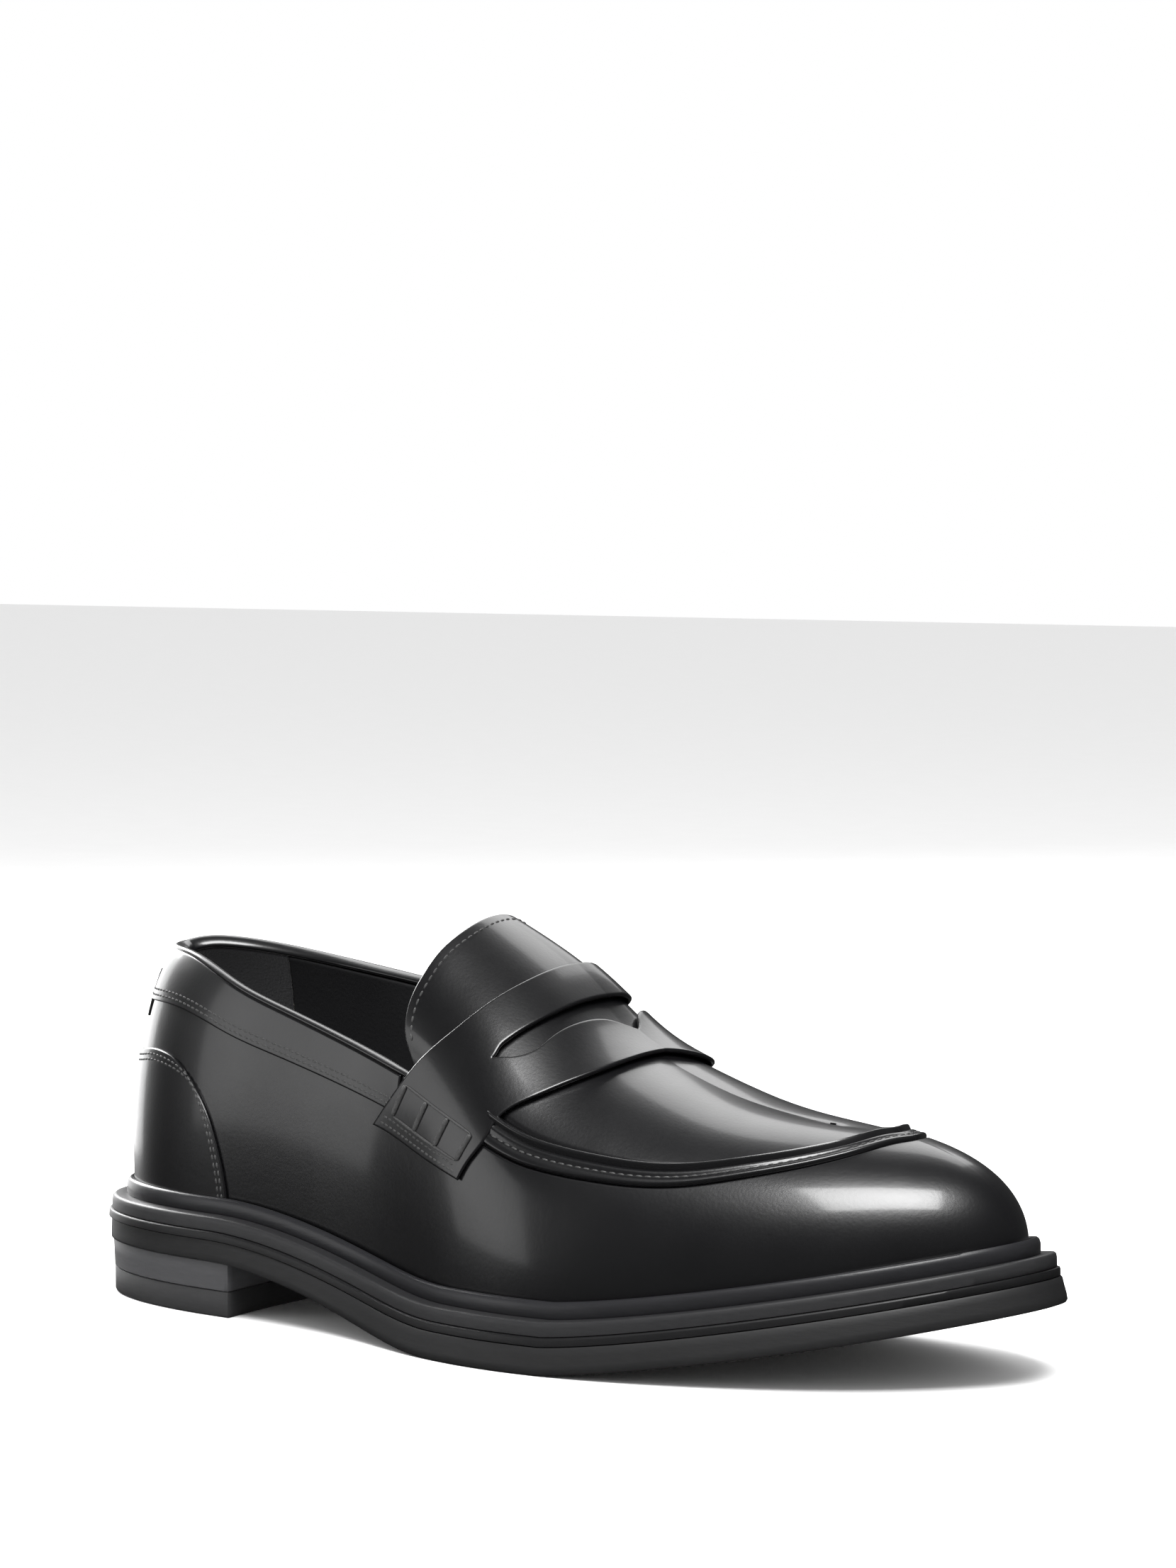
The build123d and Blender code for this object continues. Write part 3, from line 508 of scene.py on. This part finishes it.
def thread_row(name, line, face, finish, pitch=2.3, radius=0.34):
    """Stitches along a line of points: each a short spindle of six sides whose ends dip into the leather."""
    run = np.r_[0, np.cumsum(np.linalg.norm(np.diff(line, axis=0), axis=1))]
    at = (np.arange(int(run[-1] / pitch)) + 0.5) * pitch
    spot = lambda values, s: np.stack([np.interp(s, run, values[:, k]) for k in range(3)], -1)
    station = np.array([-1, -0.8, -0.35, 0.35, 0.8, 1])
    centre = spot(line, at[:, None] + station * pitch * 0.43)
    out = spot(face, at)[:, None]
    along = (spot(line, at + 0.3) - spot(line, at - 0.3))[:, None]
    along /= np.linalg.norm(along, axis=-1, keepdims=True)
    side = np.cross(along, out)
    centre = centre - out * (0.32 * station**2)[:, None]
    turn = np.linspace(0, 2 * np.pi, 7)[:, None]
    size = (radius * np.sqrt(1 - station**4))[:, None, None]
    ring = centre[:, :, None] + size * (np.cos(turn) * side[:, :, None] + np.sin(turn) * out[:, :, None])
    return mesh_piece(name, [(stitch, True) for stitch in ring], finish)


def sewn(name, w, v, height, **options):
    """A row of stitches along the curve (w, v) of the upper, height millimetres off it."""
    line = upper(w, v, height)
    face = upper(w, v, height + 1.0) - line
    row = thread_row(name, line, face, waxed_thread, **options)
    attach(row, "shoe")
    return row


def round_the_patch(inset_a, inset_b):
    """The patch's two sides and top as one line, inset from its cut edge."""
    up, over = np.linspace(0.02, 1 - inset_b, 120), np.linspace(-1 + inset_a, 1 - inset_a, 300)
    a = np.r_[-1 + inset_a + 0 * up, over[1:-1], 1 - inset_a + 0 * up]
    b = np.r_[up, 1 - inset_b + 0 * over[1:-1], up[::-1]]
    return counter_place(a, b)


thread = Finish("waxed_thread", Specular_IOR_Level=0.4)
twist = thread.noise(1600, 2)
waxed_thread = thread.wear(Base_Color=thread.blend(twist, (0.014, 0.014, 0.014), (0.05, 0.05, 0.05)),
                           Roughness=twist * 0.2 + 0.45, Normal=thread.bump(twist, 0.4, 0.0002))
a, b = np.meshgrid(2 * crowd(161) - 1, crowd(40), indexing="ij")
counter = leather_piece("counter_leather", *counter_place(a, b), 0.05, 0.05 + TRIM_LEATHER, box_calf)
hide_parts("counter_patch")
for number, (inset_a, inset_b) in enumerate([(0.022, 0.05), (0.042, 0.095)]):
    sewn(f"counter_stitch_{number + 1}", *round_the_patch(inset_a, inset_b), 0.05 + TRIM_LEATHER)

# Collar band. A strip of calf folded over the mouth of the shoe, from just behind one strap
# tab round the heel to the other, with two rows of stitching above its lower edge.
COLLAR_DROP, BAND_END = 16.0, 0.206


def collar_low(w):
    """v of the band's lower edge, below the topline and closing on it towards the front."""
    s, inner = side_share(w)
    drop = np.where(inner, natural(TOPLINE_INNER, s), natural(TOPLINE_OUTER, s))
    return v_at(w, COLLAR_HEIGHT + drop - COLLAR_DROP + 12 * s)


def raised(w, v, distance):
    """v moved up the upper by a distance in millimetres."""
    rate = np.linalg.norm(last_face(w, v + 0.01) - last_face(w, v), axis=-1) / 0.01
    return v + distance / rate


a, t = np.meshgrid(2 * crowd(261) - 1, crowd(36), indexing="ij")
w = a * BAND_END
collar = leather_piece("collar_leather", w, collar_low(w) + (top_edge(w) - 0.004 - collar_low(w)) * t,
                       0.05, 0.05 + TRIM_LEATHER, box_calf)
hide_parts("collar_band")
w = np.linspace(-BAND_END + 0.002, BAND_END - 0.002, 500)
for number, distance in enumerate([1.7, 3.4]):
    sewn(f"collar_stitch_{number + 1}", w, raised(w, collar_low(w), distance), 0.05 + TRIM_LEATHER)

# Topline. The collar's top edge is rolled over the lining as a soft bead.
LINER_IN = -3.5
MOUTH_END = 0.212
w = np.linspace(-MOUTH_END, MOUTH_END, 420)[:, None]
turn = np.linspace(0, 2 * np.pi, 25)[None, :]
bead_mid, bead_half = (LINER_IN + TRIM_LEATHER + 0.25) / 2, (TRIM_LEATHER + 0.35 - LINER_IN) / 2
taper = np.sqrt(np.clip(1 - (np.abs(w) / MOUTH_END)**40, 0, 1))
v = raised(w + 0 * turn, top_edge(w) + 0 * turn, 0.25 + 1.25 * np.sin(turn) * taper)
bead_grid = upper(w + 0 * turn, v, bead_mid + bead_half * np.cos(turn) * taper)
bead = mesh_piece("topline_bead", [(bead_grid, True)], box_calf)
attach(bead, "shoe")
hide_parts("topline_binding")

# Heel loop. A short narrow tab over the back seam, tucked under the collar band.
w, t = np.meshgrid(0.011 * (2 * crowd(30) - 1), crowd(40), indexing="ij")
low, high = v_at(w, COLLAR_HEIGHT - COLLAR_DROP - 6), v_at(w, COLLAR_HEIGHT - COLLAR_DROP + 8)
loop = leather_piece("heel_loop", w, low + (high - low) * t, 1.3, 2.5, box_calf)
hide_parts("back_strap")

# Linings. Thin matt black leather inside the quarters and vamp, and a suede grip round the
# inside of the heel that ends at an upright seam on each side.
lining = Finish("lining_leather", Specular_IOR_Level=0.3)
grain, patch = lining.noise(900, 3), lining.noise(30, 3)
lining_leather = lining.wear(Base_Color=lining.blend(patch, (0.008, 0.008, 0.009), (0.016, 0.016, 0.017)),
                             Roughness=grain * 0.1 + 0.5, Normal=lining.bump(grain, 0.35, 0.0003))
suede = Finish("grip_suede", Specular_IOR_Level=0.15, Sheen_Weight=0.35, Sheen_Roughness=0.5)
nap, stroke = suede.noise(1500, 4), suede.noise(60, 3, (1, 1, 0.4))
suede_tone = suede.blend(stroke * 0.6 + nap * 0.4, (0.006, 0.006, 0.007), (0.022, 0.022, 0.024))
grip_suede = suede.wear(Base_Color=suede_tone, Roughness=nap * 0.1 + 0.85,
                        Normal=suede.bump(nap, 0.7, 0.0005))
for name, node, start, end, finish, slot_name in [
        ("lining_quarter_outer", "quarter_lining_outer", 0.0835, 0.257, lining_leather, "lining_leather"),
        ("lining_quarter_inner", "quarter_lining_inner", 0.743, 0.9165, lining_leather, "lining_leather"),
        ("lining_vamp", "vamp_lining", 0.2575, 0.7425, lining_leather, "lining_leather"),
        ("grip_heel", "heel_grip", -0.083, 0.083, grip_suede, "grip_suede")]:
    w, t = np.meshgrid(start + (end - start) * crowd(181), crowd(30), indexing="ij")
    v = 0.02 + (top_edge(w) - 0.03) * t
    piece = leather_piece(name, w, v, LINER_IN, LINER_IN + 1.0, finish, radius=0.4)
    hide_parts(node)

# Sock. A leather sock covers the insole, raised at the heel by a foam pad.
SOCK_EDGE = 13.5
sock_outline, _ = plan(ROUND, SOCK_EDGE)


def sock_base(x):
    return seat(x) + 2.7 + 2.5 * (1 - ease((x - 60) / 45))


sock = stacked("sock_leather", sock_outline, [(-0.5, 0), (0, 0.3), (0, 0.7), (-0.4, 1)],
               sock_base, lambda x: sock_base(x) + 1.4, lining_leather)
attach(sock, "shoe")
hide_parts("sock_liner")

# Apron. The top of the vamp is one rounded piece inside the raised seam, drawn back under
# the strap.
STRAP_REAR = [(0.22, 122), (0.27, 127), (0.35, 134), (0.42, 139.5), (0.52, 147), (0.68, 154.5), (0.8, 157.5),
              (1.0, 158.5)]
STRAP_FRONT = [(0.22, 160), (0.27, 163), (0.35, 168), (0.40, 169.5), (0.54, 178), (0.63, 183.5),
               (0.73, 188.5), (0.84, 192), (1.0, 194)]
STRAP_FRONT_INNER = [(0.22, 160), (0.27, 163), (0.35, 170), (0.40, 174), (0.54, 186), (0.63, 191.5),
                     (0.73, 196), (0.84, 197.5), (1.0, 194)]


def w_at(x, side):
    """Share round the plan where the feather line reaches station x, on the outer (−1) or inner (1) side."""
    share = np.linspace(0, W_TOE, 600) if side < 0 else np.linspace(1, W_TOE, 600)
    foot, _ = plan(share, FEATHER_INSET)
    return np.interp(x, foot[:, 0], share)


def over_instep(rear, front, foot, count, steps):
    """(w, v) grid of a piece that crosses the instep: v climbs the outer side to the ridge and comes
    down the inner side."""
    grids = []
    for side in (-1, 1):
        climb = 1 - (1 - np.linspace(0, 1, count))**1.4
        climb = climb if side < 0 else climb[::-1][1:]
        t = steps[None, :] + 0 * climb[:, None]
        x = rear(1.0) + (front(1.0) - rear(1.0)) * t
        for _ in range(6):
            v = foot(x, side) + (1 - foot(x, side)) * climb[:, None]
            x = rear(v) + (front(v) - rear(v)) * t
        grids.append((w_at(x, side), v))
    return [np.concatenate(pair) for pair in zip(*grids)]


def apron_foot(x, side):
    """v of the apron's edge at station x: just inside the raised seam."""
    return np.minimum(top_edge(w_at(x, side)) + RIM_DEPTH, 0.97)


def apron_gap(face):
    """Distance to the side edges and to the rear edge. The two halves meet at the toe with no edge there."""
    runs = [np.cumsum(np.linalg.norm(np.diff(face, axis=k), axis=-1), k) for k in (0, 1)]
    climb, back = (np.insert(run, 0, 0, k) for k, run in enumerate(runs))
    return np.minimum(np.minimum(climb, climb[-1:] - climb), back)


APRON_OFF = -0.7
feather_tip = plan(np.array(W_TOE), FEATHER_INSET)[0][0]
w, v = over_instep(lambda v: natural(STRAP_REAR, v) + 4.5, lambda v: feather_tip + 0 * v, apron_foot,
                   60, crowd(150, False))
apron = leather_piece("apron_leather", w, v, APRON_OFF - UPPER_LEATHER, APRON_OFF, box_calf, gap=apron_gap)
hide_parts("apron_plug")

# Apron seam. The vamp's edge is turned up against the apron and sewn through, which leaves a
# raised lip with a stitched channel below its crest.
RIM_START = 0.495
w, t = np.meshgrid(np.linspace(RIM_START * W_TOE, 1 - RIM_START * (1 - W_TOE), 520), crowd(34), indexing="ij")
s, inner = side_share(w)
swell = ease((s - np.where(inner, 0.563, 0.503)) / 0.015)
lip = swell * (0.9 + 0.9 * np.exp(-((t - 0.86) / 0.10)**2) - 0.5 * np.exp(-((t - 0.66) / 0.05)**2)
               - 0.35 * np.exp(-((t - 0.36) / 0.09)**2))
rim = leather_piece("apron_seam", w, top_edge(w) + 0.003 + (RIM_DEPTH + 0.002) * t, -UPPER_LEATHER, 0.05,
                    box_calf, relief=lip, radius=0.9)
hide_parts("apron_rim")
w = np.linspace(0.52 * W_TOE, 1 - 0.575 * (1 - W_TOE), 900)
sewn("apron_stitch", w, top_edge(w) + 0.003 + RIM_DEPTH * 0.37, 0.62, pitch=2.6)

# Strap. A saddle of calf across the instep with a coin slot, its ends sewn down and laced
# through the upper on each side.
SLOT_REAR = [(0.54, 161.5), (0.73, 167.5), (0.86, 169.5), (1.0, 170)]
SLOT_FRONT = [(0.54, 163.5), (0.62, 170), (0.73, 172.5), (0.84, 174), (0.91, 175.5), (0.96, 178), (1.0, 182)]
TAB_V, SLOT_V, STRAP_LOW = 0.225, 0.54, 0.3


def slot_lips(v):
    """Stations of the slot's rear and front lips; they meet at its ends."""
    rear, front = natural(SLOT_REAR, v), natural(SLOT_FRONT, v)
    meet = natural([(0.22, 141), (0.4, 155), (SLOT_V, 162.5)], v)
    part = np.sqrt(ease((v - SLOT_V) / 0.05))
    shut = v <= SLOT_V
    middle = (rear + front) / 2
    rear, front = middle + (rear - middle) * part, middle + (front - middle) * part
    return np.where(shut, meet, rear), np.where(shut, meet, front)


def strap_half(front_half):
    """(w, v) grid of the strap behind or in front of the slot."""
    grids = []
    for side, foot, front_edge in ((-1, TAB_V, STRAP_FRONT), (1, TAB_V + 0.1, STRAP_FRONT_INNER)):
        past_slot = 1 - (1 - np.linspace(0, 1, 90))**1.3
        v = np.unique(np.r_[foot + (SLOT_V - foot) * crowd(50), SLOT_V + (1 - SLOT_V) * past_slot])
        v = (v if side < 0 else v[::-1][1:])[:, None]
        rear_lip, front_lip = slot_lips(v)
        a, b = (front_lip, natural(front_edge, v)) if front_half else (natural(STRAP_REAR, v), rear_lip)
        x = a + (b - a) * crowd(30)[None, :]
        grids.append((w_at(x, side), v + 0 * x))
    return [np.concatenate(pair) for pair in zip(*grids)]


def strap_gap(face, v, front_half):
    """Distance to the strap's own edges, and to the slot's lip between its ends."""
    across = np.insert(np.cumsum(np.linalg.norm(np.diff(face, axis=1), axis=-1), 1), 0, 0, 1)
    from_lip = across if front_half else across[:, -1:] - across
    from_edge = across[:, -1:] - across if front_half else across
    along = np.insert(np.cumsum(np.linalg.norm(np.diff(face, axis=0), axis=-1), 0), 0, 0, 0)
    from_end = np.minimum(along, along[-1:] - along)
    past_slot = np.clip(SLOT_V - v, 0, 1) * 90
    return np.minimum(np.minimum(from_edge, from_end), np.hypot(from_lip, past_slot))


grids = []
for front_half in (False, True):
    w, v = strap_half(front_half)
    lift_up = 0.5 * ease((v - 0.45) / 0.2)
    grids += hide(w, v, STRAP_LOW, STRAP_LOW + TRIM_LEATHER + lift_up,
                  gap=lambda face: strap_gap(face, v, front_half))
strap = mesh_piece("penny_strap_leather", grids, box_calf)
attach(strap, "shoe")
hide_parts("penny_strap")

# Lacing and tab stitching. Thick waxed cord is laced over each strap end in four bars, and
# two rows of stitches hold the end below them.
for side, name, rise in ((-1, "outer", 0.0), (1, "inner", 0.08)):
    lace = []
    for k in range(4):
        s = 0.412 + 0.028 * k + np.linspace(-0.006, 0.006, 24)
        lace.append((s, np.linspace(0.262, 0.338, 24) + rise))
    for level in (0.262, 0.338):
        shift = -0.006 if level < 0.3 else 0.006
        lace.append((np.linspace(0.412, 0.496, 60) + shift, level + rise + np.zeros(60)))
    grids = []
    for s, v in lace:
        w = s * W_TOE if side < 0 else 1 - s * (1 - W_TOE)
        height = STRAP_LOW + TRIM_LEATHER + 0.15
        line, face = upper(w, v, height), upper(w, v, height + 1.0) - upper(w, v, height)
        along = np.gradient(line, axis=0)
        along /= np.linalg.norm(along, axis=-1, keepdims=True)
        beside = np.cross(along, face)
        turn = np.linspace(0, 2 * np.pi, 13)[None, :, None]
        end = np.sqrt(np.clip(1 - np.abs(np.linspace(-1, 1, len(s)))**8, 0, 1))[:, None, None]
        width = 0.75 if len(s) == 24 else 0.4
        tube = line[:, None] + width * end * (np.cos(turn) * beside[:, None] + np.sin(turn) * face[:, None])
        grids.append((tube, True))
    cords = mesh_piece(f"strap_cords_{name}", grids, waxed_thread)
    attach(cords, "shoe")
    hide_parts(f"strap_lacing_{name}")
    for number, level in enumerate((0.238, 0.252)):
        x = np.linspace(natural(STRAP_REAR, level) + 2, natural(STRAP_FRONT, level) - 2, 120)
        sewn(f"tab_stitch_{name}_{number + 1}", w_at(x, side), level + rise * 1.25 + 0 * x,
             STRAP_LOW + TRIM_LEATHER, pitch=2.0)

# Tongue. A rounded flap of calf with a leather backing, sewn in under the strap and free
# behind it, where it bends forward to let the foot in.
TONGUE_REAR = [(0.36, 137), (0.40, 132), (0.44, 129.5), (0.49, 128.5), (0.60, 130), (0.69, 131.5),
               (0.81, 133.5), (1.0, 133.5)]
TONGUE_FOOT, INNER_RISE = 0.37, 0.13


def flap(name, trim, top, thick, finish, node):
    """A layer of the tongue, trim millimetres in from its free edge. Its ends dip under the sides of
    the mouth."""
    w, v = over_instep(lambda v: natural(TONGUE_REAR, v) + trim, lambda v: natural(STRAP_REAR, v) + 3.5,
                       lambda x, side: TONGUE_FOOT + trim / 50 + (INNER_RISE if side > 0 else 0) + 0 * x,
                       60, crowd(50))
    tuck = -1.5 * ease((0.45 + INNER_RISE * (w > W_TOE) - v) / 0.07)
    piece = mesh_piece(name, hide(w, v, top - thick + tuck, top + tuck), finish)
    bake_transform(piece)
    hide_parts(node)


flap("tongue_leather", 0.0, -0.3, UPPER_LEATHER, box_calf, "tongue")
flap("tongue_backing", 0.8, -1.7, 1.0, lining_leather, "tongue_lining")
v = np.r_[np.linspace(0.43, 1, 300), np.linspace(1, 0.43 + INNER_RISE, 300)[1:]]
x = natural(TONGUE_REAR, v) + 3.0
w = np.where(np.arange(len(v)) < 300, w_at(x, -1), w_at(x, 1))
line = upper(w, v, -0.3)
tongue_stitch = thread_row("tongue_stitch", line, upper(w, v, 0.7) - line, waxed_thread, pitch=2.6)
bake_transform(tongue_stitch)

# Inside pieces. The board, cork, foam, steel shank, nails and stiffeners are closed inside
# the shoe and keep the shapes they have.
hidden_finish = {"cork_filler": ((0.30, 0.19, 0.10), (0.42, 0.28, 0.16), 0.9),
                 "insole_board": ((0.42, 0.33, 0.23), (0.5, 0.4, 0.3), 0.8),
                 "heel_pad": ((0.55, 0.53, 0.5), (0.62, 0.6, 0.56), 0.9),
                 "heel_nails": ((0.4, 0.38, 0.3), (0.5, 0.48, 0.4), 0.35),
                 "shank": ((0.35, 0.35, 0.36), (0.45, 0.45, 0.46), 0.35)}
for node in ("heel_stiffener", "toe_puff"):
    hidden_finish[node] = ((0.5, 0.45, 0.38), (0.58, 0.53, 0.45), 0.85)
for node in ("side_stay_outer", "side_stay_inner"):
    hidden_finish[node] = ((0.006, 0.006, 0.007), (0.012, 0.012, 0.013), 0.6)
for node, (dark, light, rough) in hidden_finish.items():
    inner = Finish(f"{node}_finish", Metallic=1.0 if node in ("shank", "heel_nails") else 0.0)
    mottle = inner.noise(220, 4)
    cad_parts[node].data.materials.clear()
    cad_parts[node].data.materials.append(
        inner.wear(Base_Color=inner.blend(mottle, dark, light), Roughness=mottle * 0.08 + (rough - 0.04)))

# Floor, light and camera. A pale sweep, soft boxes above and to each side, and one long lens.
floor_mesh = bpy.data.meshes.new("studio_floor")
floor_mesh.from_pydata([(-6, -6, 0), (6, -6, 0), (6, 6, 0), (-6, 6, 0)], [], [(0, 1, 2, 3)])
floor = bpy.data.objects.new("studio_floor", floor_mesh)
bpy.context.scene.collection.objects.link(floor)
paper = Finish("floor_paper", Specular_IOR_Level=0.2)
fibre = paper.noise(40, 3)
floor_mesh.materials.append(paper.wear(Base_Color=paper.blend(fibre, (0.86, 0.86, 0.86), (0.88, 0.88, 0.88)),
                                       Roughness=fibre * 0.1 + 0.7))
floor.visible_glossy = False


def soft_box(name, place, aim, width, height, power):
    data = bpy.data.lights.new(name, "AREA")
    data.shape, data.size, data.size_y, data.energy = "RECTANGLE", width, height, power
    box = bpy.data.objects.new(name, data)
    box.location = place
    box.rotation_euler = (Vector(aim) - Vector(place)).to_track_quat("-Z", "Y").to_euler()
    bpy.context.scene.collection.objects.link(box)


soft_box("back_box", (-0.62, 0.8, 0.95), (0, 0, 0.05), 1.4, 0.7, 9)
soft_box("overhead_box", (0.46, -0.47, 1.22), (0.08, 0, 0.04), 0.85, 0.6, 32)
soft_box("left_panel", (-1.3, 0.5, 0.3), (-0.05, 0, 0.06), 0.7, 0.9, 7)
soft_box("tongue_box", (-1.0, 0.37, 0.62), (0, 0, 0.09), 0.5, 0.5, 15)
soft_box("front_panel", (-1.06, -0.99, 0.3), (0, 0, 0.05), 0.75, 0.8, 3.4)
world = bpy.data.worlds.new("studio")
world.use_nodes = True
bpy.context.scene.world = world
tree = world.node_tree
sky = tree.nodes["Background"]
seen = tree.nodes.new("ShaderNodeLightPath")
shade = tree.nodes.new("ShaderNodeMapRange")
shade.inputs["To Min"].default_value, shade.inputs["To Max"].default_value = 1.0, 0.05
tree.links.new(seen.outputs["Is Glossy Ray"], shade.inputs["Value"])
tree.links.new(shade.outputs["Result"], sky.inputs["Strength"])
sky.inputs["Color"].default_value = (1, 1, 1, 1)

TURN, RISE, AWAY = math.radians(36.2), math.radians(8.0), 1.393
target = Vector((-0.0078, 0.0040, 0.045))
right = Vector((math.cos(TURN), math.sin(TURN), 0))
up = Vector((-math.sin(TURN) * math.sin(RISE), math.cos(TURN) * math.sin(RISE), math.cos(RISE)))
back = Vector((math.sin(TURN) * math.cos(RISE), -math.cos(TURN) * math.cos(RISE), math.sin(RISE)))
lens = bpy.data.cameras.new("camera")
lens.sensor_fit, lens.sensor_width, lens.lens = "HORIZONTAL", 36.0, 150.8
camera = bpy.data.objects.new("camera", lens)
camera.location = target + back * AWAY
aim = target + right * 0.0164 + up * 0.109
camera.rotation_euler = (aim - camera.location).to_track_quat("-Z", "Y").to_euler()
bpy.context.scene.collection.objects.link(camera)
bpy.context.scene.camera = camera
bpy.context.scene.view_settings.view_transform = "Standard"
